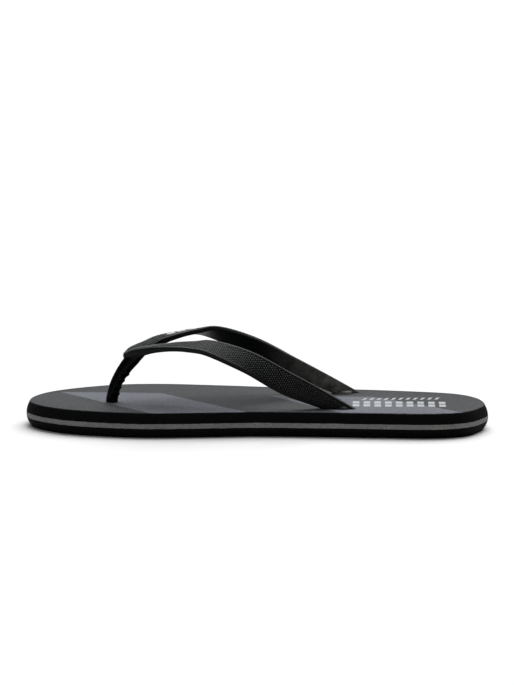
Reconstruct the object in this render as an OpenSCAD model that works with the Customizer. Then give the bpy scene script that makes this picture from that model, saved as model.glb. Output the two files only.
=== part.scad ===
// Flip flop, right foot: a laminated foam sole and a moulded Y strap that plugs through it.
// X runs from the toe (-X) to the heel (+X), the inner side of the foot is at -Y, and Z is up
// from the ground.

/* [Sole outline] */
// Length of the sole, toe to heel
sole_l = 275; // [230:1:330]
// Width across the ball of the foot
ball_w = 106; // [90:0.5:128]
// Width across the waist, under the arch
waist_w = 91; // [76:0.5:108]
// Width across the heel
heel_w = 82; // [68:0.5:98]
// How far the toe tip lies to the inner side of the centre line
toe_lean = 6; // [0:0.5:12]
// How far the middle of the heel lies to the inner side of the centre line
heel_lean = 5.5; // [0:0.5:10]
// How far the upper edge of the sidewall is ground in from its widest line
top_inset = 2.4; // [0.5:0.1:4]
// How far the lower edge of the sidewall is ground in from its widest line
bottom_inset = 3; // [0.5:0.1:4]

/* [Sole layers] */
// Thickness of the outsole
outsole_t = 5.8; // [5:0.1:8]
// Thickness of the light stripe layer
stripe_t = 2.8; // [1.5:0.1:5]
// Thickness of the upper foam layer
foam_t = 6; // [3:0.1:12]
// Thickness of the printed sheet on the footbed
sheet_t = 0.4; // [0.3:0.1:1]

/* [Tread] */
// Distance from one tread groove to the next
tread_pitch = 4; // [3:0.5:10]
// Width of a tread groove
groove_w = 1.2; // [0.8:0.1:2]
// Depth of a tread groove
groove_d = 0.6; // [0.4:0.1:1]
// Length of the plain band under the arch
plain_l = 56; // [20:1:90]
// How far the grooves stop short of the sole's widest line
groove_margin = 6; // [3:0.5:12]

/* [Toe post] */
// Distance of the toe post from the toe tip
post_back = 52; // [44:0.5:62]
// Distance of the toe post to the inner side of the centre line
post_in = 14; // [8:0.5:20]
// Height of the toe post over the footbed
post_h = 27; // [20:0.5:34]
// How far the toe post leans back at its top
post_lean = 12.5; // [4:0.5:18]
// Diameter of the toe post
post_d = 7.2; // [6:0.1:9]

/* [Strap] */
// Distance of the two rear plugs from the heel tip
plug_ahead = 85; // [70:0.5:100]
// Distance of the inner rear plug from the centre line
inner_plug_out = 29.5; // [22:0.5:34]
// Distance of the outer rear plug from the centre line
outer_plug_out = 23.5; // [16:0.5:30]
// Height of the inner arm's crest over the footbed
inner_rise = 35; // [28:0.5:46]
// Height of the outer arm's crest over the footbed
outer_rise = 39.5; // [30:0.5:50]
// How far each arm bows outwards between its ends
arm_bow = 8; // [2:0.5:14]
// Widest part of an arm
arm_w = 15; // [10:0.5:20]
// Thickness of an arm
arm_t = 2.7; // [2.4:0.1:4]
// Thickness of the strap over the toe post
nose_t = 4.2; // [3.4:0.1:5.5]

/* [Plugs] */
// Diameter of the stems that pass through the sole
stem_d = 6.8; // [5:0.1:6.9]
// Diameter of the mushroom heads under the sole
head_d = 20; // [14:0.5:24]
// Thickness of the mushroom heads
head_t = 2.4; // [1.8:0.1:3]
// Clearance from each head down to the ground
head_lift = 0.8; // [0.4:0.1:1.5]
// Clearance around a stem in its hole
stem_gap = 0.1; // [0.05:0.05:0.5]
// Clearance around a head in its recess
head_gap = 0.4; // [0.2:0.1:1]
// Diameter of the collar where a rear stem meets its arm
collar_d = 9.5; // [8:0.5:14]
// Height of that collar
collar_h = 1.6; // [1:0.1:3]

/* [Badge] */
// Number of raised bars on the outer arm
bar_count = 3; // [1:1:4]
// Length of a bar
bar_l = 5; // [3:0.1:7]
// Width of a bar
bar_w = 4.4; // [3:0.1:6]
// Distance from one bar to the next
bar_pitch = 6.6; // [5:0.1:9]
// How far a bar stands out of the strap
bar_proud = 0.7; // [0.3:0.1:1.5]
// How deep a bar is set into the strap
bar_deep = 0.9; // [0.5:0.1:1.2]

/* [Hidden] */
$fn = 64;
SPAN_STEPS = 5;   // points drawn on each stretch of the outline
RING_STEPS = 3;   // rings drawn on each stretch of an arm
POST_RINGS = 12;
POST_SIDES = 16;
EPS = 0.5;        // how far a cutter runs past the face that it cuts
POST_CURVE = 1.75;
EDGE_R = 1;       // rounding of an arm's long edges
ARCH_AT = 0.6;    // share of the length at the middle of the arch

stripe_z = outsole_t;
foam_z = stripe_z + stripe_t;
sheet_z = foam_z + foam_t;
sole_t = sheet_z + sheet_t;
widest_z = stripe_z + stripe_t / 2;
recess_d = head_lift + head_t;

post_x = post_back - sole_l / 2;
plug_x = sole_l / 2 - plug_ahead;
PLUGS = [[post_x, -post_in], [plug_x, -inner_plug_out], [plug_x, outer_plug_out]];
REAR_PLUGS = [PLUGS[1], PLUGS[2]];

// ---- Curves ----

// Catmull-Rom point between rows b and c of a list
function blend(a, b, c, d, t) =
    (2 * b + (c - a) * t + (2 * a - 5 * b + 4 * c - d) * t * t + (3 * b - a - 3 * c + d) * t * t * t) / 2;

function closed_curve(p, steps) =
    let (n = len(p))
    [for (i = [0:n - 1], k = [0:steps - 1])
        blend(p[(i + n - 1) % n], p[i], p[(i + 1) % n], p[(i + 2) % n], k / steps)];

function open_curve(p, steps) =
    let (n = len(p))
    [for (i = [0:n - 2], k = [0:(i == n - 2 ? steps : steps - 1)])
        blend(p[max(i - 1, 0)], p[i], p[i + 1], p[min(i + 2, n - 1)], k / steps)];

function unit(v) = v / norm(v);

// ---- Sole outline, at its widest line ----

// A point at a share of the length from the toe, and a share of half the named width
function spot(along, width, lean, side) = [(along - 0.5) * sole_l, side * width / 2 - lean];

OUTLINE = closed_curve([
    spot(0.000, ball_w, toe_lean, 0),
    spot(0.022, ball_w, toe_lean, -0.37),
    spot(0.090, ball_w, toe_lean, -0.67),
    spot(0.180, ball_w, 0, -0.94),
    spot(0.280, ball_w, 0, -1),
    spot(0.390, ball_w, 0, -0.94),
    spot(0.510, waist_w, 0, -1),
    spot(0.650, waist_w, 0, -1),
    spot(0.780, heel_w, heel_lean, -1),
    spot(0.880, heel_w, heel_lean, -1),
    spot(0.950, heel_w, heel_lean, -0.83),
    spot(0.987, heel_w, heel_lean, -0.46),
    spot(1.000, heel_w, heel_lean, -0.06),
    spot(0.980, heel_w, heel_lean, 0.45),
    spot(0.925, heel_w, heel_lean, 0.8),
    spot(0.800, heel_w, heel_lean, 1),
    spot(0.660, waist_w, 0, 0.89),
    spot(0.520, waist_w, 0, 0.99),
    spot(0.400, ball_w, 0, 0.94),
    spot(0.280, ball_w, 0, 1),
    spot(0.180, ball_w, 0, 0.925),
    spot(0.090, ball_w, toe_lean, 0.78),
    spot(0.025, ball_w, toe_lean, 0.43),
], SPAN_STEPS);
RIM = len(OUTLINE);

OUTWARD = [for (i = [0:RIM - 1])
    let (t = unit(OUTLINE[(i + 1) % RIM] - OUTLINE[(i + RIM - 1) % RIM])) [t.y, -t.x]];

// The sidewall bulges: how far the outline is ground in at height z
function inset(z) =
    z > widest_z ? top_inset * pow((z - widest_z) / (sole_t - widest_z), 2)
                 : bottom_inset * pow((widest_z - z) / widest_z, 2);

function rim_at(z) = [for (i = [0:RIM - 1])
    let (p = OUTLINE[i] - inset(z) * OUTWARD[i]) [p.x, p.y, z]];

// A slice of the sole, from height z0 to z1
module slice(z0, z1, steps) {
    heights = [for (k = [0:steps]) z0 + (z1 - z0) * k / steps];
    walls = [for (z = heights) each rim_at(z)];
    low = len(walls);
    polyhedron(
        points = concat(walls, [[0, 0, z0], [0, 0, z1]]),
        faces = concat(
            [for (k = [0:steps - 1], i = [0:RIM - 1], half = [0, 1])
                let (a = k * RIM + i, b = k * RIM + (i + 1) % RIM)
                half == 0 ? [a, b + RIM, b] : [a, a + RIM, b + RIM]],
            [for (i = [0:RIM - 1]) [low, i, (i + 1) % RIM]],
            [for (i = [0:RIM - 1]) [low + 1, steps * RIM + (i + 1) % RIM, steps * RIM + i]]));
}

// The three round holes that the stems pass through
module stem_holes() {
    for (p = PLUGS)
        translate([p.x, p.y, -EPS]) cylinder(d = stem_d + 2 * stem_gap, h = sole_t + 2 * EPS);
}

module head_recesses() {
    for (p = PLUGS)
        translate([p.x, p.y, -EPS]) cylinder(d = head_d + 2 * head_gap, h = recess_d + EPS);
}

// Where the outline crosses a line across the sole
function crossings(x) = [for (i = [0:RIM - 1])
    let (a = OUTLINE[i], b = OUTLINE[(i + 1) % RIM])
    if ((a.x - x) * (b.x - x) <= 0 && a.x != b.x)
        a.y + (b.y - a.y) * (x - a.x) / (b.x - a.x)];

// Grooves across the ground face, with a plain band under the arch
module tread_grooves() {
    for (run = [groove_margin : tread_pitch : sole_l - groove_margin])
        if (abs(run - ARCH_AT * sole_l) > plain_l / 2) {
            x = run - sole_l / 2;
            low = min(crossings(x)) + groove_margin;
            high = max(crossings(x)) - groove_margin;
            translate([x - groove_w / 2, low, -EPS]) cube([groove_w, high - low, groove_d + EPS]);
        }
}

module footbed_sheet() {
    color("#5a5d60") difference() {
        slice(sheet_z, sole_t, 1);
        stem_holes();
    }
}

module upper_foam() {
    color("#141515") difference() {
        slice(foam_z, sheet_z, 4);
        stem_holes();
    }
}

module stripe_layer() {
    color("#6f716f") difference() {
        slice(stripe_z, foam_z, 2);
        stem_holes();
    }
}

module outsole() {
    color("#101111") difference() {
        slice(0, outsole_t, 4);
        stem_holes();
        head_recesses();
        tread_grooves();
    }
}

// ---- Strap ----

// Heights over the footbed. Near the nose both arms climb from the top of the post by shares of one
// common climb, so that they stay joined; further on each climbs by shares of its own.
nose_climb = (inner_rise + outer_rise) / 2 - post_h;
function near_nose(share) = post_h + share * nose_climb;
function up_to_crest(share, rise) = post_h + share * (rise - post_h);

// One row of an arm: share of the way from the nose to the rear plug, height over the footbed, turn
// of the outer face from level, share of the width, and thickness
INNER_ARM = [
    [0.00, near_nose(0.040), 0, 0.50, nose_t * 0.5],
    [0.03, near_nose(0.186), 0, 0.64, nose_t * 0.9],
    [0.06, near_nose(0.310), 0, 0.75, nose_t],
    [0.10, near_nose(0.416), 0, 0.84, nose_t],
    [0.15, up_to_crest(0.725, inner_rise), 0, 0.905, (nose_t + arm_t) / 2],
    [0.23, up_to_crest(0.935, inner_rise), 5, 0.95, arm_t],
    [0.31, up_to_crest(0.990, inner_rise), 10, 0.965, arm_t],
    [0.40, 0.98 * inner_rise, 24, 0.975, arm_t],
    [0.57, 0.76 * inner_rise, 49, 0.955, arm_t],
    [0.74, 0.42 * inner_rise, 70, 0.92, arm_t],
    [0.90, 0.153 * inner_rise, 87, 0.70, arm_t + 0.6],
    [1.07, -0.12 * inner_rise, 92, 0.36, nose_t],
];
OUTER_ARM = [
    [0.00, near_nose(0.040), 0, 0.50, nose_t * 0.5],
    [0.03, near_nose(0.213), -9, 0.64, nose_t * 0.9],
    [0.06, near_nose(0.343), -8, 0.75, nose_t],
    [0.10, near_nose(0.510), -7, 0.84, nose_t],
    [0.15, up_to_crest(0.695, outer_rise), 0, 0.905, (nose_t + arm_t) / 2],
    [0.23, up_to_crest(0.903, outer_rise), 5, 0.955, arm_t],
    [0.31, up_to_crest(1.010, outer_rise), 10, 1.00, arm_t],
    [0.40, 0.975 * outer_rise, 29, 1.00, arm_t],
    [0.57, 0.741 * outer_rise, 54, 0.92, arm_t],
    [0.74, 0.427 * outer_rise, 78, 0.84, arm_t],
    [0.90, 0.182 * outer_rise, 98, 0.62, arm_t + 0.6],
    [1.07, -0.10 * outer_rise, 102, 0.40, nose_t],
];

NOSE = [post_x + post_lean - post_d / 2 - 0.5, -post_in];
PARTING = (PLUGS[1] + PLUGS[2]) / 2 - NOSE; // direction of the line where the two arms part

// The middle line of an arm with its turn, width and thickness, one row per ring
function arm_rows(rows, side, plug) =
    open_curve([for (r = rows)
        let (p = NOSE + (plug - NOSE) * r[0])
        [p.x, p.y + side * arm_bow * sin(180 * min(r[0], 1)), sole_t + r[1],
         r[2], arm_w * r[3], r[4]]],
    RING_STEPS);

function spot3(row) = [row[0], row[1], row[2]];

// The three directions of an arm at ring i: along it, across its outer face, and out of that face
function arm_axes(arm, i, side) =
    let (n = len(arm),
         along = unit(spot3(arm[min(i + 1, n - 1)]) - spot3(arm[max(i - 1, 0)])),
         level = unit([-along.y, along.x, 0]),
         up = cross(along, level),
         turn = arm[i][3])
    [along, side * level * cos(turn) - up * sin(turn), up * cos(turn) + side * level * sin(turn)];

// A rectangle with rounded corners, as points going round it
function strip_section(w, t) =
    let (r = min(EDGE_R, t / 2 - 0.05))
    [for (q = [0:3], a = [0, 45, 90])
        let (sx = (q == 0 || q == 3) ? 1 : -1, sy = q < 2 ? 1 : -1)
        [sx * (w / 2 - r) + r * cos(90 * q + a), sy * (t / 2 - r) + r * sin(90 * q + a)]];

// A closed skin over rings of points, each with the same number of points
module skin(rings) {
    n = len(rings[0]);
    last = (len(rings) - 1) * n;
    polyhedron(
        points = [for (r = rings) each r],
        faces = concat(
            [for (k = [0:len(rings) - 2], i = [0:n - 1], half = [0, 1])
                let (a = k * n + i, b = k * n + (i + 1) % n)
                half == 0 ? [a, b, b + n] : [a, b + n, a + n]],
            [[for (i = [n - 1:-1:0]) i]],
            [[for (i = [0:n - 1]) last + i]]));
}

function arm_rings(arm, side) = [for (i = [0:len(arm) - 1])
    let (axes = arm_axes(arm, i, side),
         section = strip_section(arm[i][4], arm[i][5]),
         n = len(section))
    [for (k = [0:n - 1])
        let (q = section[side > 0 ? n - 1 - k : k])
        spot3(arm[i]) + axes[1] * q.x + axes[2] * q.y]];

inner_arm = arm_rows(INNER_ARM, -1, PLUGS[1]);
outer_arm = arm_rows(OUTER_ARM, 1, PLUGS[2]);

// An arm, cut off level where it lands on the footbed and upright where it meets the other arm
module arm(rows, side) {
    difference() {
        skin(arm_rings(rows, side));
        translate([0, -ball_w / 2, -sole_t]) cube([sole_l / 2, ball_w, 2 * sole_t]);
        translate([NOSE.x, NOSE.y, 0]) rotate(atan2(PARTING.y, PARTING.x))
            translate([-arm_w, side > 0 ? -2 * arm_w : 0, 0])
                cube([4 * arm_w, 2 * arm_w, 2 * sole_t + 2 * outer_rise]);
    }
}

// The post curves back as it rises
function post_point(h) =
    [post_x + post_lean * pow(h / post_h, POST_CURVE), -post_in, sole_t + h];

// The post runs up past the strap and is cut off along the middle of the nose
module toe_post() {
    top = post_h + nose_t;
    nose_slope = atan2(INNER_ARM[2][1] - INNER_ARM[0][1], INNER_ARM[2][0] * norm(PARTING));
    difference() {
        skin([for (k = [0:POST_RINGS])
            let (h = top * k / POST_RINGS,
                 lean = k == 0 ? 0 : atan2(post_lean * POST_CURVE * pow(h / post_h, POST_CURVE - 1), post_h))
            [for (i = [0:POST_SIDES - 1])
                let (a = -360 * i / POST_SIDES, u = post_d / 2 * cos(a))
                post_point(h) + [u * cos(lean), post_d / 2 * sin(a), -u * sin(lean)]]]);
        translate([NOSE.x, NOSE.y, sole_t + INNER_ARM[0][1]]) rotate([0, -nose_slope, 0])
            translate([-arm_w, -arm_w, 0]) cube(2 * arm_w);
    }
}

module plug(p, top) {
    translate([p.x, p.y, head_lift]) cylinder(d = head_d, h = head_t);
    translate([p.x, p.y, recess_d - EPS]) cylinder(d = stem_d, h = sole_t + top - recess_d + EPS);
}

// One bar of the badge, seated in the outer face at a place counted in rings from the nose
module badge_bar(place) {
    low = floor(place);
    share = place - low;
    axes_low = arm_axes(outer_arm, low, 1);
    axes_high = arm_axes(outer_arm, low + 1, 1);
    along = unit(axes_low[0] + (axes_high[0] - axes_low[0]) * share);
    across = unit(cross(axes_low[2] + (axes_high[2] - axes_low[2]) * share, along));
    out = cross(along, across);
    row = outer_arm[low] + (outer_arm[low + 1] - outer_arm[low]) * share;
    at = spot3(row) + out * row[5] / 2;
    multmatrix([
        [along.x, across.x, out.x, at.x],
        [along.y, across.y, out.y, at.y],
        [along.z, across.z, out.z, at.z],
        [0, 0, 0, 1]])
        translate([-bar_l / 2, -bar_w / 2, -bar_deep]) cube([bar_l, bar_w, bar_deep + bar_proud]);
}

// The bars follow each other along the outer arm from this ring on
badge_from = RING_STEPS * 5 - 1;
module badge_bars() {
    ring_gap = norm(spot3(outer_arm[badge_from + 1]) - spot3(outer_arm[badge_from]));
    for (k = [0:bar_count - 1])
        badge_bar(badge_from + k * bar_pitch / ring_gap);
}

module strap() {
    color("#232526") difference() {
        union() {
            arm(inner_arm, -1);
            arm(outer_arm, 1);
            toe_post();
            plug(PLUGS[0], 2);
            for (p = REAR_PLUGS) {
                plug(p, 0);
                translate([p.x, p.y, sole_t]) cylinder(d1 = collar_d, d2 = stem_d, h = collar_h);
            }
        }
        badge_bars();
    }
}

module badge() {
    color("#e4e3de") badge_bars();
}

footbed_sheet();
upper_foam();
stripe_layer();
outsole();
strap();
badge();
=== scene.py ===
import math

import bmesh
import bpy
from mathutils import Matrix, Vector, noise


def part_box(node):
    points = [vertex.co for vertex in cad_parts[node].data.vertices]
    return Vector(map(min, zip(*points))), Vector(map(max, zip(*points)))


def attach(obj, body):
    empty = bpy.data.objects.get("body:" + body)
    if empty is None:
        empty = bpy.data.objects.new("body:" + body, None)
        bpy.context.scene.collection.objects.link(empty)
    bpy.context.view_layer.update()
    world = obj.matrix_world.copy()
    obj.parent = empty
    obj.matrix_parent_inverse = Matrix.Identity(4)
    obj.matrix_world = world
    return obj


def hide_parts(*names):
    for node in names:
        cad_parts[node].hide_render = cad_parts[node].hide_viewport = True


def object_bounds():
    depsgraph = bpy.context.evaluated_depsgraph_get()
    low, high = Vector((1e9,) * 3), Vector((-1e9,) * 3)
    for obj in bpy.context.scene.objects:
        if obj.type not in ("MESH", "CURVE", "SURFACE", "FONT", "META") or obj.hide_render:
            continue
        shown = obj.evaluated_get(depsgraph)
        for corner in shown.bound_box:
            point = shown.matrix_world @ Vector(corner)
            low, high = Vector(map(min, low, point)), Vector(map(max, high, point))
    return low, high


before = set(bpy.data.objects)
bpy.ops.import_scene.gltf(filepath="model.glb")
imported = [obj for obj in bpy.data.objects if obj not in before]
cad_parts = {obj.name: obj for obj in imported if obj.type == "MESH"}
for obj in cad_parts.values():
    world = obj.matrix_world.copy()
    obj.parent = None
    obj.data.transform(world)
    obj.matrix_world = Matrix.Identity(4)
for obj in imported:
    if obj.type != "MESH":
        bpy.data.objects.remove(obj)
cad_low, cad_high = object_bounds()

# Lengths below are in millimetres, and MM takes a finished piece to metres.
MM = 0.001


# ---- Places taken from the frame ----

def span_mm(node):
    low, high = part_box(node)
    return low / MM, high / MM


sheet_low, sheet_high = span_mm("footbed_sheet")
badge_low, badge_high = span_mm("badge")

SOLE_L = (cad_high.x - cad_low.x) / MM
DECK_Z = sheet_high.z                 # top of the footbed
SHEET_Z = sheet_low.z
FOAM_Z = span_mm("upper_foam")[0].z
STRIPE_Z = span_mm("stripe_layer")[0].z
WIDEST_Z = (STRIPE_Z + FOAM_Z) / 2
HEAD_LIFT = span_mm("strap")[0].z     # ground clearance of the plug heads

# Sizes of the sole and strap, as in the solid model
BALL_W, WAIST_W, HEEL_W = 106.0, 91.0, 82.0
TOE_LEAN, HEEL_LEAN = 6.0, 5.5
TOP_INSET, BOTTOM_INSET = 2.4, 3.0
TREAD_PITCH, GROOVE_W, GROOVE_D = 4.0, 1.2, 0.6
GROOVE_MARGIN, ARCH_AT, PLAIN_L = 6.0, 0.6, 56.0
STEM_D, STEM_GAP = 6.8, 0.1
HEAD_D, HEAD_T, HEAD_GAP = 20.0, 2.4, 0.4
COLLAR_D, COLLAR_H = 9.5, 1.6
POST_H, POST_LEAN, POST_D, POST_CURVE = 27.0, 12.5, 7.2, 1.75
ARM_W, ARM_T, ARM_BOW, NOSE_T = 15.0, 2.7, 8.0, 4.2
INNER_RISE, OUTER_RISE = 35.0, 39.5
POST_BACK, POST_IN = 52.0, 14.0
PLUG_AHEAD, INNER_PLUG_OUT, OUTER_PLUG_OUT = 85.0, 29.5, 23.5
NOSE_AHEAD = 0.5                      # the arms start this far in front of the post's top
POST_AT = Vector((POST_BACK - SOLE_L / 2, -POST_IN))
INNER_PLUG = Vector((SOLE_L / 2 - PLUG_AHEAD, -INNER_PLUG_OUT))
OUTER_PLUG = Vector((SOLE_L / 2 - PLUG_AHEAD, OUTER_PLUG_OUT))
PLUGS = (POST_AT, INNER_PLUG, OUTER_PLUG)
NOSE = Vector((POST_AT.x + POST_LEAN - POST_D / 2 - NOSE_AHEAD, POST_AT.y))


# ---- Curves ----

def blend(a, b, c, d, t):
    """Catmull-Rom value between b and c."""
    return (2 * b + (c - a) * t + (2 * a - 5 * b + 4 * c - d) * t * t
            + (3 * b - a - 3 * c + d) * t * t * t) / 2


def blend_rows(rows, i, t, closed):
    n = len(rows)
    pick = [(i + k) % n if closed else min(max(i + k, 0), n - 1) for k in (-1, 0, 1, 2)]
    return [blend(*(rows[p][c] for p in pick), t) for c in range(len(rows[0]))]


def curve(rows, steps, closed=False):
    spans = len(rows) if closed else len(rows) - 1
    points = [blend_rows(rows, i, k / steps, closed) for i in range(spans) for k in range(steps)]
    return points if closed else points + [list(rows[-1])]


def spot(along, width, lean, side):
    return ((along - 0.5) * SOLE_L, side * width / 2 - lean)


OUTLINE_STEPS = 22
OUTLINE = [Vector(p) for p in curve([
    spot(0.000, BALL_W, TOE_LEAN, 0),
    spot(0.022, BALL_W, TOE_LEAN, -0.37),
    spot(0.090, BALL_W, TOE_LEAN, -0.67),
    spot(0.180, BALL_W, 0, -0.94),
    spot(0.280, BALL_W, 0, -1),
    spot(0.390, BALL_W, 0, -0.94),
    spot(0.510, WAIST_W, 0, -1),
    spot(0.650, WAIST_W, 0, -1),
    spot(0.780, HEEL_W, HEEL_LEAN, -1),
    spot(0.880, HEEL_W, HEEL_LEAN, -1),
    spot(0.950, HEEL_W, HEEL_LEAN, -0.83),
    spot(0.987, HEEL_W, HEEL_LEAN, -0.46),
    spot(1.000, HEEL_W, HEEL_LEAN, -0.06),
    spot(0.980, HEEL_W, HEEL_LEAN, 0.45),
    spot(0.925, HEEL_W, HEEL_LEAN, 0.8),
    spot(0.800, HEEL_W, HEEL_LEAN, 1),
    spot(0.660, WAIST_W, 0, 0.89),
    spot(0.520, WAIST_W, 0, 0.99),
    spot(0.400, BALL_W, 0, 0.94),
    spot(0.280, BALL_W, 0, 1),
    spot(0.180, BALL_W, 0, 0.925),
    spot(0.090, BALL_W, TOE_LEAN, 0.78),
    spot(0.025, BALL_W, TOE_LEAN, 0.43),
], OUTLINE_STEPS, closed=True)]
RIM = len(OUTLINE)


def outward(i):
    t = (OUTLINE[(i + 1) % RIM] - OUTLINE[(i - 1) % RIM]).normalized()
    return Vector((t.y, -t.x))


OUTWARD = [outward(i) for i in range(RIM)]


def inset(z):
    """How far the sidewall is ground in from its widest line at height z."""
    if z > WIDEST_Z:
        return TOP_INSET * ((z - WIDEST_Z) / (DECK_Z - WIDEST_Z)) ** 2
    return BOTTOM_INSET * ((WIDEST_Z - z) / WIDEST_Z) ** 2


# ---- Mesh helpers ----

WELD, SLIVER = 0.002, 0.001   # points nearer than this are one; shorter edges are dropped


def sweep(bm, rings):
    """Extrudes the first ring of points through the others and closes both ends."""
    place = bm.verts.layers.int.new("place")
    start = [bm.verts.new(p) for p in rings[0]]
    for k, vert in enumerate(start):
        vert[place] = k
    loop = [bm.edges.new((start[k - 1], start[k])) for k in range(len(start))]
    first = loop
    for ring in rings[1:]:
        made = bmesh.ops.extrude_edge_only(bm, edges=loop)["geom"]
        fresh = {g for g in made if isinstance(g, bmesh.types.BMVert)}
        for vert in fresh:
            vert.co = ring[vert[place]]
        loop = [g for g in made if isinstance(g, bmesh.types.BMEdge)
                and g.verts[0] in fresh and g.verts[1] in fresh]
    for end in (first, loop):
        bmesh.ops.contextual_create(bm, geom=end)
    bmesh.ops.recalc_face_normals(bm, faces=bm.faces[:])


def lathe(bm, profile, centre, steps):
    """Spins (radius, height) points into a closed turned shape standing at centre."""
    axis = Vector((centre.x, centre.y, 0))
    verts = [bm.verts.new(axis + Vector((r, 0, z))) for r, z in profile]
    edges = [bm.edges.new((verts[k], verts[k + 1])) for k in range(len(verts) - 1)]
    bmesh.ops.spin(bm, geom=verts + edges, cent=axis, axis=(0, 0, 1),
                   angle=math.tau, steps=steps, use_merge=True)
    bmesh.ops.remove_doubles(bm, verts=bm.verts[:], dist=SLIVER)
    bmesh.ops.recalc_face_normals(bm, faces=bm.faces[:])


def mesh_object(bm, name):
    mesh = bpy.data.meshes.new(name)
    bm.to_mesh(mesh)
    bm.free()
    piece = bpy.data.objects.new(name, mesh)
    bpy.context.scene.collection.objects.link(piece)
    return piece


def combine(piece, other, operation):
    """Applies an exact boolean to a piece and removes the other object."""
    step = piece.modifiers.new("combine", "BOOLEAN")
    step.operation = operation
    step.solver = "EXACT"
    step.object = other
    bpy.context.view_layer.update()
    done = bpy.data.meshes.new_from_object(
        piece.evaluated_get(bpy.context.evaluated_depsgraph_get()))
    piece.modifiers.clear()
    old = piece.data
    piece.data = done
    bpy.data.meshes.remove(old)
    bpy.data.objects.remove(other)
    return piece


def finish_piece(piece, materials, sharp_deg=40):
    """Takes a piece to metres, smooths it up to a sharp angle and gives it its materials."""
    bm = bmesh.new()
    bm.from_mesh(piece.data)
    bmesh.ops.remove_doubles(bm, verts=bm.verts[:], dist=WELD)
    bmesh.ops.dissolve_degenerate(bm, edges=bm.edges[:], dist=SLIVER)
    bmesh.ops.scale(bm, vec=(MM,) * 3, verts=bm.verts[:])
    limit = math.radians(sharp_deg)
    for face in bm.faces:
        face.smooth = True
    for edge in bm.edges:
        edge.smooth = edge.is_manifold and edge.calc_face_angle(0) < limit
    piece.data.materials.clear()
    for material in materials:
        piece.data.materials.append(material)
    bm.to_mesh(piece.data)
    bm.free()
    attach(piece, "root")


# ---- Materials ----

def paint(code):
    """An sRGB hex colour as linear RGBA."""
    parts = [int(code[i:i + 2], 16) / 255 for i in (1, 3, 5)]
    return tuple(p / 12.92 if p <= 0.04045 else ((p + 0.055) / 1.055) ** 2.4 for p in parts) + (1.0,)


def add(tree, kind, values=None, links=None, **settings):
    """Adds a node with its settings, socket values and links."""
    made = tree.nodes.new(kind)
    for name, value in settings.items():
        setattr(made, name, value)
    for name, value in (values or {}).items():
        made.inputs[name].default_value = value
    for name, source in (links or {}).items():
        tree.links.new(source, made.inputs[name])
    return made


def new_material(name):
    material = bpy.data.materials.new(name)
    material.use_nodes = True
    tree = material.node_tree
    tree.nodes.clear()
    where = add(tree, "ShaderNodeTexCoord").outputs["Object"]
    return material, tree, where


def close(tree, values, links):
    shader = add(tree, "ShaderNodeBsdfPrincipled", values, links)
    add(tree, "ShaderNodeOutputMaterial", links={"Surface": shader.outputs["BSDF"]})


def grain(tree, where, size_mm, detail=3.0, rough=0.55):
    """Fine noise with features about size_mm across."""
    values = {"Scale": 1 / (size_mm * MM), "Detail": detail, "Roughness": rough}
    return add(tree, "ShaderNodeTexNoise", values, {"Vector": where}).outputs["Fac"]


def shades(tree, dark, light, share):
    """A colour between two hex colours, by a share from 0 to 1."""
    return add(tree, "ShaderNodeMix", {"A": paint(dark), "B": paint(light)}, {"Factor": share},
               data_type="RGBA").outputs["Result"]


def spread(tree, value, low, high):
    """Takes a value to 0 at low and 1 at high."""
    return add(tree, "ShaderNodeMapRange", {"From Min": low, "From Max": high},
               {"Value": value}).outputs["Result"]


def blend_in(tree, value, amount, base):
    """Adds an amount of one value to another."""
    return add(tree, "ShaderNodeMath", {1: amount}, {0: value, 2: base},
               operation="MULTIPLY_ADD").outputs[0]


CLOUD_MM, SMOOTH = 14.0, 2.0        # cloudiness of buffed foam, and the detail of soft noise
BELT_MM, BELT_RUN = 0.5, 0.12       # belt scratches, drawn out along the edge by 1 / BELT_RUN


# Laminated EVA, knife cut and buffed on a belt: matt, almost black, with a fine torn grain that
# breaks up the little light that it returns.
def buffed_eva(name, dark, light, grain_mm, bump_mm, roughness, specular):
    material, tree, where = new_material(name)
    fine = grain(tree, where, grain_mm)
    cloudy = grain(tree, where, CLOUD_MM, SMOOTH)
    drawn_out = add(tree, "ShaderNodeMapping", {"Scale": (BELT_RUN, BELT_RUN, 1.0)}, {"Vector": where})
    belt = grain(tree, drawn_out.outputs["Vector"], BELT_MM, SMOOTH)
    tone = spread(tree, blend_in(tree, cloudy, 0.35, fine), 0.45, 0.95)
    bump = add(tree, "ShaderNodeBump", {"Strength": 0.6, "Distance": bump_mm * MM},
               {"Height": blend_in(tree, belt, 0.5, fine)})
    close(tree, {"Roughness": roughness, "IOR": 1.45, "Specular IOR Level": specular},
          {"Base Color": shades(tree, dark, light, tone), "Normal": bump.outputs["Normal"]})
    return material


PRINT_SOFT = 0.25    # half the width over which an edge of the ink fades


def both(tree, a, b, operation="MULTIPLY"):
    return add(tree, "ShaderNodeMath", links={0: a, 1: b}, operation=operation).outputs[0]


def either(tree, a, b):
    return both(tree, a, b, "MAXIMUM")


def over(tree, mask, under, ink):
    """One colour over another where the mask is 1."""
    return add(tree, "ShaderNodeMix", None, {"Factor": mask, "A": under, "B": ink},
               data_type="RGBA").outputs["Result"]


def left_of(tree, where, a, b):
    """1 on the left of the line from a to b, 0 on its right."""
    way = (Vector(b) - Vector(a)).normalized()
    left = (-way.y, way.x, 0.0)
    dot = add(tree, "ShaderNodeVectorMath", {1: left}, {0: where}, operation="DOT_PRODUCT")
    at = (left[0] * a[0] + left[1] * a[1]) * MM
    return spread(tree, dot.outputs["Value"], at - PRINT_SOFT * MM, at + PRINT_SOFT * MM)


def area(tree, where, lines):
    """1 inside a shape that lies on the left of every one of these lines."""
    mask = left_of(tree, where, *lines[0])
    for line in lines[1:]:
        mask = both(tree, mask, left_of(tree, where, *line))
    return mask


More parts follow.
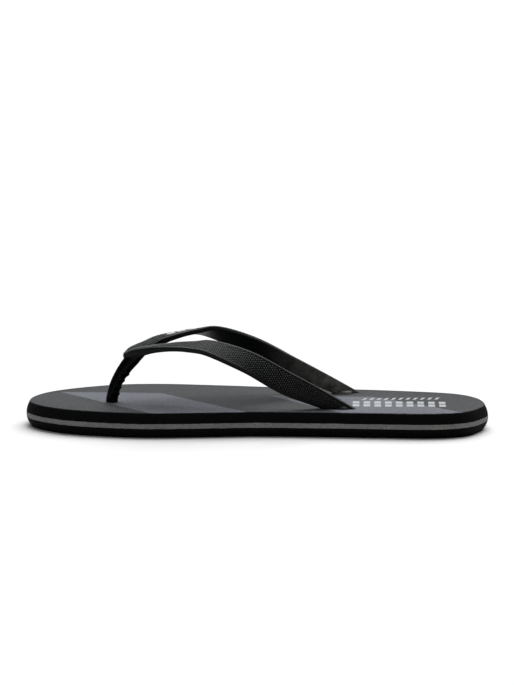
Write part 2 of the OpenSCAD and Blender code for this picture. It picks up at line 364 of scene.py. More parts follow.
def window(tree, value, low, high):
    """1 where a value in metres lies between two sizes in millimetres."""
    middle, half = (low + high) / 2, (high - low) / 2
    off = add(tree, "ShaderNodeMath", {1: middle * MM}, {0: value}, operation="SUBTRACT")
    size = add(tree, "ShaderNodeMath", links={0: off.outputs[0]}, operation="ABSOLUTE")
    return spread(tree, size.outputs[0], (half + PRINT_SOFT) * MM, (half - PRINT_SOFT) * MM)


ROW_SPARE = 0.5      # keeps the first and last block whole


def block_row(tree, where, start, end, strips, count, fill, slant=0.0):
    """Equal blocks standing on the line from start to end, in strips given by their heights."""
    way = Vector(end) - Vector(start)
    pitch = way.length / count
    local = add(tree, "ShaderNodeMapping",
                {"Location": (start[0] * MM, start[1] * MM, 0), "Rotation": (0, 0, math.atan2(way.y, way.x))},
                {"Vector": where}, vector_type="TEXTURE")
    parts = add(tree, "ShaderNodeSeparateXYZ", links={0: local.outputs["Vector"]})
    along = blend_in(tree, parts.outputs["Y"], -slant, parts.outputs["X"])
    share = add(tree, "ShaderNodeMath", {1: 1 / (pitch * MM)}, {0: along}, operation="MULTIPLY")
    phase = add(tree, "ShaderNodeMath", {1: 1.0}, {0: share.outputs[0]}, operation="FLOORED_MODULO")
    off = add(tree, "ShaderNodeMath", {1: fill / 2}, {0: phase.outputs[0]}, operation="SUBTRACT")
    size = add(tree, "ShaderNodeMath", links={0: off.outputs[0]}, operation="ABSOLUTE")
    soft = PRINT_SOFT / pitch
    columns = spread(tree, size.outputs[0], fill / 2 + soft, fill / 2 - soft)
    ends = window(tree, along, -ROW_SPARE, way.length - pitch * (1 - fill) + ROW_SPARE)
    stack = window(tree, parts.outputs["Y"], *strips[0])
    for strip in strips[1:]:
        stack = either(tree, stack, window(tree, parts.outputs["Y"], *strip))
    return both(tree, both(tree, columns, ends), stack)


# Lines that bound the two slanted bands of ink, and the two rows of plain blocks at the heel
TOE_BAND = (((-121.1, 19.9), (-63.5, -46.7)), ((-8.0, -39.8), (-58.6, 17.1)),
            ((-58.6, 17.4), (-121.1, 19.6)))
HEEL_BAND = (((6.4, 13.4), (43.8, -34.5)), ((120.6, -37.1), (69.1, 11.3)),
             ((69.1, 11.5), (6.4, 13.2)))
MAIN_ROW = dict(start=(57.5, -21.5), end=(114.8, -21.0), strips=((0.0, 7.2), (9.6, 16.8)),
                count=9, fill=0.62)
SMALL_ROW = dict(start=(62.5, 0.0), end=(110.0, 4.0), strips=((0.0, 6.4),),
                 count=11, fill=0.42, slant=0.35)
PEBBLE_MM, SPECK_MM, WORN_MM = 0.9, 0.8, 45.0


# Screen-printed embossed EVA sheet: matt grey with slanted bands of lighter blue-grey ink and
# plain rows of off-white blocks, over fine pebbling that gives a soft sparkle at a low angle.
def printed_sheet():
    material, tree, where = new_material("printed_embossed_eva")
    bands = either(tree, area(tree, where, TOE_BAND), area(tree, where, HEEL_BAND))
    marks = either(tree, block_row(tree, where, **MAIN_ROW), block_row(tree, where, **SMALL_ROW))
    specks = grain(tree, where, SPECK_MM)
    worn = grain(tree, where, WORN_MM, SMOOTH)
    tone = spread(tree, blend_in(tree, worn, 0.30, specks), 0.50, 0.80)
    ground = shades(tree, "#2b2d2f", "#45484a", tone)
    banded = over(tree, bands, ground, shades(tree, "#555860", "#73757e", tone))
    printed = over(tree, marks, banded, shades(tree, "#a4a8aa", "#c6cacb", tone))
    pebble = add(tree, "ShaderNodeTexVoronoi", {"Scale": 1 / (PEBBLE_MM * MM), "Randomness": 0.85},
                 {"Vector": where}, feature="SMOOTH_F1").outputs["Distance"]
    bump = add(tree, "ShaderNodeBump", {"Strength": 0.9, "Distance": 0.22 * MM},
               {"Height": blend_in(tree, specks, 0.5, pebble)})
    close(tree, {"Roughness": 0.65, "IOR": 1.45, "Specular IOR Level": 0.2},
          {"Base Color": printed, "Normal": bump.outputs["Normal"]})
    return material


MOULD_MM, FLOW_MM = 0.35, 9.0       # fine mould texture, and the cloudiness of the moulding


# Injection-moulded soft PVC: a satin surface, slightly cloudy, with a fine mould texture. Where
# its last argument is above 0, the faces that are turned up are painted lighter: a painted
# highlight of the light from above.
def moulded_pvc(name, dark, light, roughness, specular, bump_mm, painted_top_light=0.0):
    material, tree, where = new_material(name)
    fine = grain(tree, where, MOULD_MM)
    cloudy = blend_in(tree, grain(tree, where, FLOW_MM, SMOOTH), 0.3, fine)
    normal = add(tree, "ShaderNodeNewGeometry").outputs["True Normal"]
    facing_up = add(tree, "ShaderNodeSeparateXYZ", links={0: normal}).outputs["Z"]
    # Painted highlight: the more a face turns up, the lighter it is painted.
    painted_top_tone = blend_in(tree, facing_up, painted_top_light, cloudy)
    tone = spread(tree, painted_top_tone, 0.55 + 0.55 * painted_top_light, 1.05 + 0.75 * painted_top_light)
    bump = add(tree, "ShaderNodeBump", {"Strength": 0.4, "Distance": bump_mm * MM}, {"Height": fine})
    close(tree, {"Roughness": roughness, "IOR": 1.5, "Specular IOR Level": specular},
          {"Base Color": shades(tree, dark, light, tone), "Normal": bump.outputs["Normal"]})
    return material


SHEEN_FROM, SHEEN_TO = 4.0, 42.0        # along the sole, where the painted sheen starts and is full
PATCH_MM, PATCH_DETAIL, PATCH_ROUGH = 5.0, 4.0, 0.6


# The inner faces of the strap near its plugs carry a painted sheen, a painted reflection of the lit
# surroundings: black at the crest, greyer and slightly mottled towards the sole.
def painted_sheen_pvc():
    material, tree, where = new_material("painted_sheen_inner_pvc")
    along = add(tree, "ShaderNodeSeparateXYZ", links={0: where}).outputs["X"]
    nearer = spread(tree, along, SHEEN_FROM * MM, SHEEN_TO * MM)
    mottled = spread(tree, grain(tree, where, PATCH_MM, PATCH_DETAIL, PATCH_ROUGH), 0.2, 0.7)
    # Painted sheen: greyer towards the rear plug, a painted reflection.
    colour = shades(tree, "#050506", "#6b6965", both(tree, nearer, mottled))
    close(tree, {"Roughness": 0.5, "IOR": 1.5, "Specular IOR Level": 0.2}, {"Base Color": colour})
    return material


# Matt white paper: even, with fibres that barely show.
def white_paper():
    material, tree, where = new_material("matt_white_paper")
    tone = shades(tree, "#f4f4f4", "#f8f8f8", grain(tree, where, 3.0))
    close(tree, {"Roughness": 0.9, "Specular IOR Level": 0.1}, {"Base Color": tone})
    return material


sheet_finish = printed_sheet()
foam_finish = buffed_eva("buffed_black_eva", "#030303", "#0a0b0b", 0.8, 0.10, 0.85, 0.08)
stripe_finish = buffed_eva("buffed_grey_eva", "#5f615f", "#80827f", 0.9, 0.12, 0.85, 0.2)
outsole_finish = buffed_eva("buffed_outsole_eva", "#030303", "#090a0a", 0.8, 0.10, 0.82, 0.08)
# The strap is satin charcoal; its faces that turn up, its moulded grains most of all, are painted lighter: a
# painted highlight of the light from above.
strap_finish = moulded_pvc("moulded_satin_pvc", "#060707", "#4a4c4d", 0.45, 0.12, 0.03, 1.0)
grain_finish = moulded_pvc("moulded_grain_pvc", "#090a0a", "#838586", 0.38, 0.22, 0.03, 1.0)
inner_finish = painted_sheen_pvc()
# The toe post is moulded against a polished cavity, which gives it a sharp shine; its deep black, darker than
# the strap, is partly painted shade under the strap's nose.
post_finish = moulded_pvc("polished_pvc_painted_shade", "#010102", "#030304", 0.24, 0.05, 0.02)
# The badge is a harder off-white moulding with a soft shine.
badge_finish = moulded_pvc("moulded_white_tpu", "#cfcdc6", "#e6e5df", 0.45, 0.5, 0.02)


# ---- Sole ----

WAVE_MM = 0.13   # hand grinding leaves the layer lines slightly wavy
WAVE_LONG, WAVE_SHORT, SHORT_SHARE = 5, 1.6, 0.8


def wave(i, z):
    """How far a layer line wanders up or down at outline point i."""
    p = OUTLINE[i]
    swell = noise.noise(Vector((p.x / WAVE_LONG, p.y / WAVE_LONG, z * 3.1)))
    ripple = noise.noise(Vector((p.x / WAVE_SHORT, p.y / WAVE_SHORT, z * 7.7)))
    return WAVE_MM * (swell + SHORT_SHARE * ripple)


def rim_ring(z, wavy=False, extra=0.0):
    ring = []
    for i in range(RIM):
        p = OUTLINE[i] - OUTWARD[i] * (inset(z) + extra)
        ring.append(Vector((p.x, p.y, z + (wave(i, z) if wavy else 0.0))))
    return ring


def layer(name, heights, wavy_low, wavy_high):
    bm = bmesh.new()
    last = len(heights) - 1
    rings = [rim_ring(z, (k == 0 and wavy_low) or (k == last and wavy_high))
             for k, z in enumerate(heights)]
    sweep(bm, rings)
    return mesh_object(bm, name)


def steps_between(low, high, count):
    return [low + (high - low) * k / count for k in range(count + 1)]


CUT_PAST = 1         # how far a cutter runs past the face that it cuts
HOLE_STEPS = 48


def round_cutter(diameter, high, name):
    bm = bmesh.new()
    r = diameter / 2
    for p in PLUGS:
        lathe(bm, [(0, -CUT_PAST), (r, -CUT_PAST), (r, high), (0, high)], p, HOLE_STEPS)
    return mesh_object(bm, name)


def drill(piece):
    return combine(piece, round_cutter(STEM_D + 2 * STEM_GAP, DECK_Z + CUT_PAST, "drill"), "DIFFERENCE")


def crossings(x):
    """Where the outline crosses a line across the sole."""
    found = []
    for a, b in zip(OUTLINE, OUTLINE[1:] + OUTLINE[:1]):
        if (a.x - x) * (b.x - x) <= 0 and a.x != b.x:
            found.append(a.y + (b.y - a.y) * (x - a.x) / (b.x - a.x))
    return found


def tread_cutter():
    """Straight bars across the sole, with a plain band left under the arch."""
    bm = bmesh.new()
    run = GROOVE_MARGIN
    while run <= SOLE_L - GROOVE_MARGIN:
        if abs(run - ARCH_AT * SOLE_L) > PLAIN_L / 2:
            x = run - SOLE_L / 2
            low, high = min(crossings(x)) + GROOVE_MARGIN, max(crossings(x)) - GROOVE_MARGIN
            place = Matrix.Translation((x, (low + high) / 2, (GROOVE_D - CUT_PAST) / 2))
            size = Matrix.Diagonal((GROOVE_W, high - low, GROOVE_D + CUT_PAST, 1))
            bmesh.ops.create_cube(bm, size=1, matrix=place @ size)
        run += TREAD_PITCH
    return mesh_object(bm, "grooves")


def make_outsole():
    piece = layer("outsole_body", steps_between(0, STRIPE_Z, 6), False, True)
    drill(piece)
    combine(piece, round_cutter(HEAD_D + 2 * HEAD_GAP, HEAD_LIFT + HEAD_T, "recess"), "DIFFERENCE")
    combine(piece, tread_cutter(), "DIFFERENCE")
    finish_piece(piece, [outsole_finish])
    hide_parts("outsole")


SHEET_EDGE_R = 0.25
DIP_GRID = 5.0       # spacing of the points that let the sheet's face dip
DIP_MM = 0.2
DIP_LONG, DIP_WIDE, DIP_SEED = 34, 22, 3.3
SAME_HEIGHT, NEAR_TOP, LEVEL = 0.01, 0.05, 0.9


def cut_grid(bm):
    """Cuts the sheet's top face into squares."""
    for axis, reach in ((0, SOLE_L / 2), (1, BALL_W / 2)):
        at = -reach + DIP_GRID
        while at < reach:
            top = [f for f in bm.faces
                   if f.normal.z > LEVEL and f.calc_center_median().z > DECK_Z - NEAR_TOP]
            edges = {e for f in top for e in f.edges}
            verts = {v for f in top for v in f.verts}
            plane, point = Vector(), Vector()
            plane[axis] = 1
            point[axis] = at
            bmesh.ops.bisect_plane(bm, geom=top + list(edges) + list(verts), plane_co=point,
                                   plane_no=plane, dist=SAME_HEIGHT)
            at += DIP_GRID


def make_sheet():
    """The printed sheet, whose top face dips a little here and there."""
    bm = bmesh.new()
    rings = [rim_ring(SHEET_Z, True), rim_ring(DECK_Z - SHEET_EDGE_R)]
    for a in (math.radians(d) for d in (30, 60, 90)):
        rings.append(rim_ring(DECK_Z - SHEET_EDGE_R + SHEET_EDGE_R * math.sin(a), False,
                              SHEET_EDGE_R * (1 - math.cos(a))))
    sweep(bm, rings)
    cut_grid(bm)
    for vert in bm.verts:
        on_top = vert.co.z > DECK_Z - SAME_HEIGHT and not vert.is_boundary
        if on_top and all(f.normal.z > LEVEL for f in vert.link_faces):
            swell = noise.noise(Vector((vert.co.x / DIP_LONG, vert.co.y / DIP_WIDE, DIP_SEED)))
            vert.co.z -= DIP_MM * (1 + swell)
    piece = drill(mesh_object(bm, "footbed_print_sheet"))
    finish_piece(piece, [sheet_finish])
    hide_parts("footbed_sheet")


def make_foams():
    piece = drill(layer("upper_foam_body", steps_between(FOAM_Z, SHEET_Z, 7), True, True))
    finish_piece(piece, [foam_finish])
    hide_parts("upper_foam")
    piece = drill(layer("stripe_body", steps_between(STRIPE_Z, FOAM_Z, 3), True, True))
    finish_piece(piece, [stripe_finish])
    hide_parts("stripe_layer")


make_outsole()
make_foams()
make_sheet()


# ---- Strap ----

NOSE_CLIMB = (INNER_RISE + OUTER_RISE) / 2 - POST_H


def near_nose(share):
    return POST_H + share * NOSE_CLIMB


def up_to_crest(share, rise):
    return POST_H + share * (rise - POST_H)


# One row of an arm: share of the way from the nose to the rear plug, height over the footbed, turn
# of the outer face from level, share of the width, and thickness
INNER_ARM = [
    (0.00, near_nose(0.040), 0, 0.50, NOSE_T * 0.5),
    (0.03, near_nose(0.186), 0, 0.64, NOSE_T * 0.9),
    (0.06, near_nose(0.310), 0, 0.75, NOSE_T),
    (0.10, near_nose(0.416), 0, 0.84, NOSE_T),
    (0.15, up_to_crest(0.725, INNER_RISE), 0, 0.905, (NOSE_T + ARM_T) / 2),
    (0.23, up_to_crest(0.935, INNER_RISE), 5, 0.95, ARM_T),
    (0.31, up_to_crest(0.990, INNER_RISE), 10, 0.965, ARM_T),
    (0.40, 0.98 * INNER_RISE, 24, 0.975, ARM_T),
    (0.57, 0.76 * INNER_RISE, 49, 0.955, ARM_T),
    (0.74, 0.42 * INNER_RISE, 70, 0.92, ARM_T),
    (0.90, 0.153 * INNER_RISE, 87, 0.70, ARM_T + 0.6),
    (1.07, -0.12 * INNER_RISE, 92, 0.36, NOSE_T),
]
OUTER_ARM = [
    (0.00, near_nose(0.040), 0, 0.50, NOSE_T * 0.5),
    (0.03, near_nose(0.213), -9, 0.64, NOSE_T * 0.9),
    (0.06, near_nose(0.343), -8, 0.75, NOSE_T),
    (0.10, near_nose(0.510), -7, 0.84, NOSE_T),
    (0.15, up_to_crest(0.695, OUTER_RISE), 0, 0.905, (NOSE_T + ARM_T) / 2),
    (0.23, up_to_crest(0.903, OUTER_RISE), 5, 0.955, ARM_T),
    (0.31, up_to_crest(1.010, OUTER_RISE), 10, 1.00, ARM_T),
    (0.40, 0.975 * OUTER_RISE, 29, 1.00, ARM_T),
    (0.57, 0.741 * OUTER_RISE, 54, 0.92, ARM_T),
    (0.74, 0.427 * OUTER_RISE, 78, 0.84, ARM_T),
    (0.90, 0.182 * OUTER_RISE, 98, 0.62, ARM_T + 0.6),
    (1.07, -0.10 * OUTER_RISE, 102, 0.40, NOSE_T),
]
ARM_STEPS = 10
INNER, OUTER = -1, 1
PARTING = ((INNER_PLUG + OUTER_PLUG) / 2 - NOSE).normalized()
PARTING_SIDE = Vector((-PARTING.y, PARTING.x))   # points to the outer side of the foot


class Arm:
    """The middle line of an arm with its axes, width and thickness, one row per ring."""

    def __init__(self, rows, side, plug):
        placed = []
        for share, height, turn, width, thick in rows:
            p = NOSE + (plug - NOSE) * share
            placed.append((p.x, p.y + side * ARM_BOW * math.sin(math.pi * min(share, 1)),
                           DECK_Z + height, turn, ARM_W * width, thick))
        self.side = side
        self.rows = curve(placed, ARM_STEPS)
        self.at = [Vector(r[:3]) for r in self.rows]
        self.run = [0.0]
        for a, b in zip(self.at, self.at[1:]):
            self.run.append(self.run[-1] + (b - a).length)

    def axes(self, i):
        last = len(self.at) - 1
        along = (self.at[min(i + 1, last)] - self.at[max(i - 1, 0)]).normalized()
        level = Vector((-along.y, along.x, 0)).normalized()
        up = along.cross(level)
        turn = math.radians(self.rows[i][3])
        across = level * (self.side * math.cos(turn)) - up * math.sin(turn)
        out = up * math.cos(turn) + level * (self.side * math.sin(turn))
        return along, across, out

    def frame_at(self, run):
        """Middle point, axes, width and thickness at a distance along the arm."""
        i = 0
        while i < len(self.run) - 2 and self.run[i + 1] < run:
            i += 1
        t = (run - self.run[i]) / (self.run[i + 1] - self.run[i])
        low, high = self.axes(i), self.axes(i + 1)
        turned = [a.lerp(b, t).normalized() for a, b in zip(low, high)]
        width = self.rows[i][4] * (1 - t) + self.rows[i + 1][4] * t
        thick = self.rows[i][5] * (1 - t) + self.rows[i + 1][5] * t
        return self.at[i].lerp(self.at[i + 1], t), turned, width, thick


CROWN = 0.3       # how far the outer face bulges at its middle
OUTER_R = 1.0     # rounding of the outer face's edges
INNER_R = 0.8
RIM_RISE = 0.3    # the outer face's plain rim stands this far above its grained field
RIM_W = 0.7
RIM_SLOPE = 0.3
FACE_STEPS = 6
ARC_STEP = 30     # degrees between the points of a rounded edge
FLAT_LEFT = 0.05  # a rounded edge leaves at least this much flat wall


def crown(u, width):
    return CROWN * (1 - (2 * u / width) ** 2)


def crown_fall(u, width):
    """How steeply the outer face falls away from its middle."""
    return 8 * CROWN * u / width ** 2


def arc(u, v, radius, first, last):
    """Points on an arc round (u, v), between two angles in degrees."""
    turns = [math.radians(a) for a in range(first, last + 1, ARC_STEP)]
    return [(u + radius * math.cos(a), v + radius * math.sin(a)) for a in turns]


def section(width, thick):
    """Points round an arm's section: across, and out from its middle."""
    outer_r = min(OUTER_R, thick / 2 - FLAT_LEFT)
    inner_r = min(INNER_R, thick / 2 - FLAT_LEFT)
    half = width / 2
    rim, field = half - outer_r, half - outer_r - RIM_W - RIM_SLOPE
    top = thick / 2 + RIM_RISE
    points = [(rim, top), (rim - RIM_W, top)]
    for k in range(FACE_STEPS + 1):
        u = field * (1 - 2 * k / FACE_STEPS)
        points.append((u, thick / 2 + crown(u, width)))
    points += [(RIM_W - rim, top), (-rim, top)]
    points += arc(-half + outer_r, top - outer_r, outer_r, 120, 180)
    points += arc(-half + inner_r, -thick / 2 + inner_r, inner_r, 180, 270)
    points += arc(half - inner_r, -thick / 2 + inner_r, inner_r, 270, 360)
    points += arc(half - outer_r, top - outer_r, outer_r, 0, 60)
    return points


CUT_DIST = 0.0005


def cut(bm, point, direction):
    """Cuts a closed mesh by a plane, drops what lies ahead of it and closes the cut."""
    geom = bm.verts[:] + bm.edges[:] + bm.faces[:]
    bmesh.ops.bisect_plane(bm, geom=geom, plane_co=point, plane_no=direction, dist=CUT_DIST,
                           clear_outer=True)
    open_edges = [e for e in bm.edges if e.is_boundary]
    if open_edges:
        bmesh.ops.holes_fill(bm, edges=open_edges, sides=0)


LAP = 0.3   # the two arms run this far into each other at the nose before they are made one


def make_arm(arm, name):
    bm = bmesh.new()
    rings = []
    for i, row in enumerate(arm.rows):
        along, across, out = arm.axes(i)
        rings.append([arm.at[i] + across * u + out * v for u, v in section(row[4], row[5])])
    sweep(bm, rings)
    edge = NOSE - PARTING_SIDE * (arm.side * LAP)
    cut(bm, (edge.x, edge.y, 0), (-PARTING_SIDE.x * arm.side, -PARTING_SIDE.y * arm.side, 0))
    cut(bm, (0, 0, DECK_Z), (0, 0, -1))
    bmesh.ops.recalc_face_normals(bm, faces=bm.faces[:])
    return mesh_object(bm, name)


POST_RINGS = 60
POST_SIDES = 32
RIDGES = (6.0, 10.2, 14.4, 18.6)   # heights of the ridges on the back of the toe post
RIDGE_OUT = 0.75                   # how far a ridge stands out
RIDGE_RUN, RIDGE_DROP = 2.2, 0.7   # its long lower slope and its steep upper one
RIDGE_WRAP = 0.6                   # below 1 spreads the ridges round to the sides
POST_SUNK = 0.2                    # how far the post starts under the footbed's top
FLARE_FROM, FLARE_OVER = 14, 12    # the post widens from here, over this height
FLARE_ALL, FLARE_BACK = 0.1, 1.5   # how far it widens all round, and more at the back
BACK_FLAT, POST_OVAL = 0.15, 0.97


def post_point(h):
    return Vector((POST_AT.x + POST_LEAN * (max(h, 0) / POST_H) ** POST_CURVE, POST_AT.y, DECK_Z + h))


def ridge(h):
    """A saw-tooth bump, steep on its upper side."""
    most = 0.0
    for at in RIDGES:
        d = h - at
        if -RIDGE_RUN < d <= 0:
            most = max(most, 1 + d / RIDGE_RUN)
        elif 0 < d < RIDGE_DROP:
            most = max(most, 1 - d / RIDGE_DROP)
    return most


def post_ring(h):
    """Points round the post at one height, level across its leaning middle line."""
    climb = max(h, 0) / POST_H
    lean = math.atan2(POST_LEAN * POST_CURVE * climb ** (POST_CURVE - 1), POST_H)
    flare = min(1.0, max(0.0, (h - FLARE_FROM) / FLARE_OVER))
    ring = []
    for i in range(POST_SIDES):
        a = math.tau * i / POST_SIDES
        back = max(0.0, math.cos(a))
        r = (POST_D / 2 + (FLARE_ALL + FLARE_BACK * back) * flare
             + RIDGE_OUT * ridge(h) * back ** RIDGE_WRAP - BACK_FLAT * back)
        u, v = r * math.cos(a), r * math.sin(a) * POST_OVAL
        ring.append(post_point(h) + Vector((u * math.cos(lean), v, -u * math.sin(lean))))
    return ring


def make_post(name):
    """The toe post, cut along the middle of the strap's nose."""
    bm = bmesh.new()
    top = POST_H + NOSE_T
    rings = [post_ring(-POST_SUNK + (top + POST_SUNK) * k / POST_RINGS) for k in range(POST_RINGS + 1)]
    sweep(bm, rings)
    rise = INNER_ARM[2][1] - INNER_ARM[0][1]
    reach = INNER_ARM[2][0] * ((INNER_PLUG + OUTER_PLUG) / 2 - NOSE).length
    cut(bm, (NOSE.x, NOSE.y, DECK_Z + INNER_ARM[0][1]), Vector((-rise, 0, reach)).normalized())
    bmesh.ops.recalc_face_normals(bm, faces=bm.faces[:])
    return mesh_object(bm, name)


PLUG_STEPS = 52
DISH_R, DISH_LIP, DISH_D = 1.6, 1.9, 0.35      # the shallow dish under a plug's head
HEAD_ROUND = ((1.4, 0.0), (0.6, 0.15), (0.15, 0.55), (0.0, 1.1))   # in from its rim, and up
HEAD_EDGE = 0.4
STEM_IN = 1.5                                  # how far the front stem runs up into the post
COLLAR_GAP = 0.02
COLLAR_IN, COLLAR_EDGE_Z = 0.3, 0.6


def make_plug(p):
    """A turned plug: a head under the sole, its stem, and at the rear a collar on the footbed."""
    head_top = HEAD_LIFT + HEAD_T
    lip, stem, collar = HEAD_D / 2, STEM_D / 2, COLLAR_D / 2
    profile = [(0, HEAD_LIFT + DISH_D), (DISH_R, HEAD_LIFT + DISH_D), (DISH_LIP, HEAD_LIFT)]
    profile += [(lip - back, HEAD_LIFT + up) for back, up in HEAD_ROUND]
    profile += [(lip, head_top - HEAD_EDGE), (lip - HEAD_EDGE, head_top), (stem, head_top)]
    if p is POST_AT:
        profile += [(stem, DECK_Z + STEM_IN), (0, DECK_Z + STEM_IN)]
    else:
        profile += [(stem, DECK_Z + COLLAR_GAP), (collar, DECK_Z + COLLAR_GAP),
                    (collar - COLLAR_IN, DECK_Z + COLLAR_EDGE_Z),
                    (stem, DECK_Z + COLLAR_H), (0, DECK_Z + COLLAR_H)]
    bm = bmesh.new()
    lathe(bm, profile, p, PLUG_STEPS)
    return mesh_object(bm, "plug")


inner_arm = Arm(INNER_ARM, INNER, INNER_PLUG)
outer_arm = Arm(OUTER_ARM, OUTER, OUTER_PLUG)


CREST_CLEAR, POST_REACH = 0.5, 20    # the polished area, with its painted shade, ends under the crest, near the post
INWARD = 0.45                        # a face that leans this far towards the middle gets the painted sheen
SATIN, POLISHED_SHADED, PAINTED_SHEEN = 0, 1, 2    # the strap's material slots


def strap_slot(face):
    c = face.center
    # Painted shade: faces under the crest near the post take the darker polished black.
    if c.z < DECK_Z + POST_H - CREST_CLEAR and (c.xy - POST_AT).length < POST_REACH:
        return POLISHED_SHADED
    centre_side = INNER if c.y > (INNER_PLUG.y + OUTER_PLUG.y) / 2 else OUTER
    # Inner faces that lean towards the middle get the painted sheen.
    if c.z > DECK_Z and c.x > 0 and face.normal.y * centre_side > INWARD:
        return PAINTED_SHEEN
    return SATIN


def make_strap():
    strap = make_arm(inner_arm, "strap_body")
    combine(strap, make_arm(outer_arm, "outer_arm"), "UNION")
    combine(strap, make_post("post"), "UNION")
    for p in PLUGS:
        combine(strap, make_plug(p), "UNION")
    for face in strap.data.polygons:
        face.material_index = strap_slot(face)
    finish_piece(strap, [strap_finish, post_finish, inner_finish], 50)
    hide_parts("strap")


COLUMN_GAP = 1.2    # distance between columns of moulded grains along an arm
GRAIN_GAP = 1.5     # distance between grains in a column
GRAIN_SIZE = (0.95, 1.4, 0.55)
GRAIN_SIDES, GRAIN_BANDS = 8, 4
OVER_DECK, BADGE_CLEAR = 0.4, 0.2
GRAIN_RIM = 2.0     # plain rim left along the arm's edges


def badge_box_has(p, margin):
    return (badge_low.x - margin < p.x < badge_high.x + margin
            and badge_low.y - margin < p.y < badge_high.y + margin
            and p.z > badge_low.z - margin)


def grain_column(arm, k):
    """One column of grains across an arm's outer face."""
    bm = bmesh.new()
    at, (along, across, out), width, thick = arm.frame_at(k * COLUMN_GAP)
    reach = width / 2 - GRAIN_RIM
    first = -int(reach / GRAIN_GAP) - 1
    for slot in range(first, -first + 1):
        u = (slot + 0.5 * (k % 2)) * GRAIN_GAP
        p = at + across * u + out * (thick / 2 + crown(u, width))
        own_side = (p.xy - NOSE).dot(PARTING_SIDE) * arm.side > 0
        if abs(u) > reach or p.z < DECK_Z + OVER_DECK or not own_side:
            continue
        if arm.side == OUTER and badge_box_has(p, BADGE_CLEAR):
            continue
        side = (across - out * crown_fall(u, width)).normalized()
        face = along.cross(side)
        if face.dot(out) < 0:
            face = -face
        turn = Matrix((side.cross(face), side, face)).transposed().to_4x4()
        size = Matrix.Diagonal((GRAIN_SIZE[0], GRAIN_SIZE[1], 2 * GRAIN_SIZE[2], 1))
        bmesh.ops.create_uvsphere(bm, u_segments=GRAIN_SIDES, v_segments=GRAIN_BANDS, radius=0.5,
                                  matrix=Matrix.Translation(p) @ turn @ size)
    return bm


def make_grains():
    """Rows of rice-shaped grains on the outer faces, each column set half a grain from the last."""
    field = bmesh.new()
    column = bpy.data.meshes.new("column")
    for arm in (inner_arm, outer_arm):
        for k in range(1, int(arm.run[-1] / COLUMN_GAP)):
            bm = grain_column(arm, k)
            bm.to_mesh(column)
            bm.free()
            field.from_mesh(column)
    bpy.data.meshes.remove(column)
    piece = mesh_object(field, "strap_grains")
    finish_piece(piece, [grain_finish], 80)


make_strap()
make_grains()


# ---- Badge ----

TOUCHING = 1e-6
FLAT_WITHIN = math.radians(2)
BAR_ROUND, ROUND_STEPS = 0.35, 3


def make_badge():
    """Plain raised bars set into the outer arm, where the solid model has its pockets."""
    source = bmesh.new()
    source.from_mesh(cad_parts["badge"].data)
    bmesh.ops.remove_doubles(source, verts=source.verts[:], dist=TOUCHING)
    bmesh.ops.scale(source, vec=(1 / MM,) * 3, verts=source.verts[:])
    bmesh.ops.dissolve_limit(source, angle_limit=FLAT_WITHIN, verts=source.verts[:],
                             edges=source.edges[:])
    bmesh.ops.bevel(source, geom=source.edges[:], offset=BAR_ROUND, offset_type="OFFSET",
                    segments=ROUND_STEPS, profile=0.5, affect="EDGES", material=-1,
                    clamp_overlap=True)
    piece = mesh_object(source, "badge_bars")
    finish_piece(piece, [badge_finish], 50)
    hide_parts("badge")


make_badge()


# ---- Floor, light and camera ----

FLOOR_W, FLOOR_FRONT, FLOOR_BACK = 24000.0, -4000.0, 18000.0
SWEEP_R, SWEEP_TOP = 900.0, 4000.0


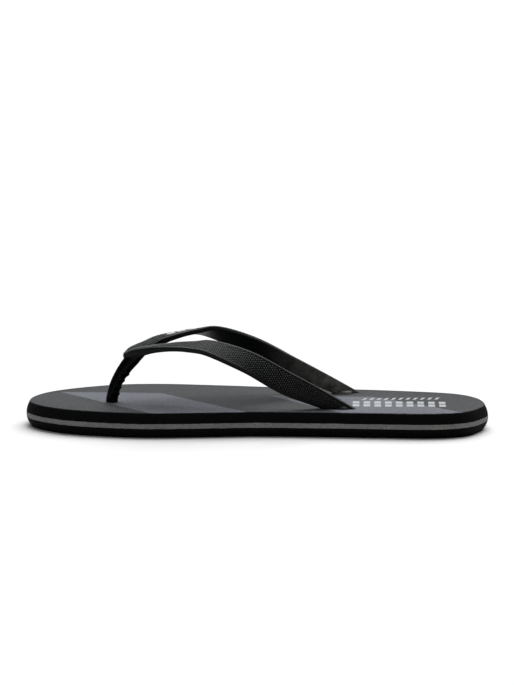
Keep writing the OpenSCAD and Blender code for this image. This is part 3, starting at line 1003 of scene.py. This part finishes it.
def make_floor():
    """A white sheet laid flat and swept up well behind the sole."""
    bm = bmesh.new()
    path = [(FLOOR_FRONT, 0.0), (FLOOR_BACK, 0.0)]
    for a in (math.radians(d) for d in range(10, 91, 10)):
        path.append((FLOOR_BACK + SWEEP_R * math.sin(a), SWEEP_R * (1 - math.cos(a))))
    path.append((FLOOR_BACK + SWEEP_R, SWEEP_TOP))
    verts = [bm.verts.new((-FLOOR_W / 2, y, z)) for y, z in path]
    edges = [bm.edges.new((verts[k], verts[k + 1])) for k in range(len(verts) - 1)]
    made = bmesh.ops.extrude_edge_only(bm, edges=edges)["geom"]
    far_side = [g for g in made if isinstance(g, bmesh.types.BMVert)]
    bmesh.ops.translate(bm, vec=(FLOOR_W, 0, 0), verts=far_side)
    bmesh.ops.recalc_face_normals(bm, faces=bm.faces[:])
    if bm.faces[0].normal.z < 0:
        bmesh.ops.reverse_faces(bm, faces=bm.faces[:])
    bmesh.ops.scale(bm, vec=(MM,) * 3, verts=bm.verts[:])
    floor = mesh_object(bm, "studio_floor")
    for face in floor.data.polygons:
        face.use_smooth = True
    floor.data.materials.append(white_paper())


AROUND = 0.25                       # even white light from all round
OVERHEAD, OVERHEAD_SPREAD = 3.2, 60  # one very wide light, like a lit white ceiling
OVERHEAD_WAY = (-0.15, -0.55, -1)


def make_studio():
    world = bpy.data.worlds.new("white_studio")
    world.use_nodes = True
    world.node_tree.nodes["Background"].inputs["Color"].default_value = (1, 1, 1, 1)
    world.node_tree.nodes["Background"].inputs["Strength"].default_value = AROUND
    bpy.context.scene.world = world
    sun = bpy.data.lights.new("ceiling_light", "SUN")
    sun.energy = OVERHEAD
    sun.angle = math.radians(OVERHEAD_SPREAD)
    lamp = bpy.data.objects.new("ceiling_light", sun)
    lamp.rotation_euler = Vector(OVERHEAD_WAY).to_track_quat("-Z", "Y").to_euler()
    bpy.context.scene.collection.objects.link(lamp)
    bpy.context.scene.view_settings.view_transform = "Standard"
    bpy.context.scene.view_settings.look = "None"


TURN, CLIMB, PITCH = (math.radians(a) for a in (3.0, 9.5, 8.658))
DISTANCE = 1.6
AIM_FORE, AIM_SIDE, AIM_Z = -1.78, 34.22, 20
LENS_MM, SENSOR_MM = 137.7, 36


def level_way(turn, tilt):
    """A direction turned round from the inner side and tilted up."""
    return Vector((math.sin(turn) * math.cos(tilt), -math.cos(turn) * math.cos(tilt), math.sin(tilt)))


def make_camera():
    """Low on the inner side, turned a little to the heel end, so the sole is seen along its edge."""
    middle = (cad_low + cad_high) / 2
    target = Vector((middle.x + AIM_FORE * MM, middle.y + AIM_SIDE * MM, AIM_Z * MM))
    lens = bpy.data.cameras.new("camera")
    lens.lens = LENS_MM
    lens.sensor_width = SENSOR_MM
    camera = bpy.data.objects.new("camera", lens)
    camera.location = target + level_way(TURN, CLIMB) * DISTANCE
    camera.rotation_euler = (-level_way(TURN, PITCH)).to_track_quat("-Z", "Y").to_euler()
    bpy.context.scene.collection.objects.link(camera)
    bpy.context.scene.camera = camera


make_floor()
make_studio()
make_camera()
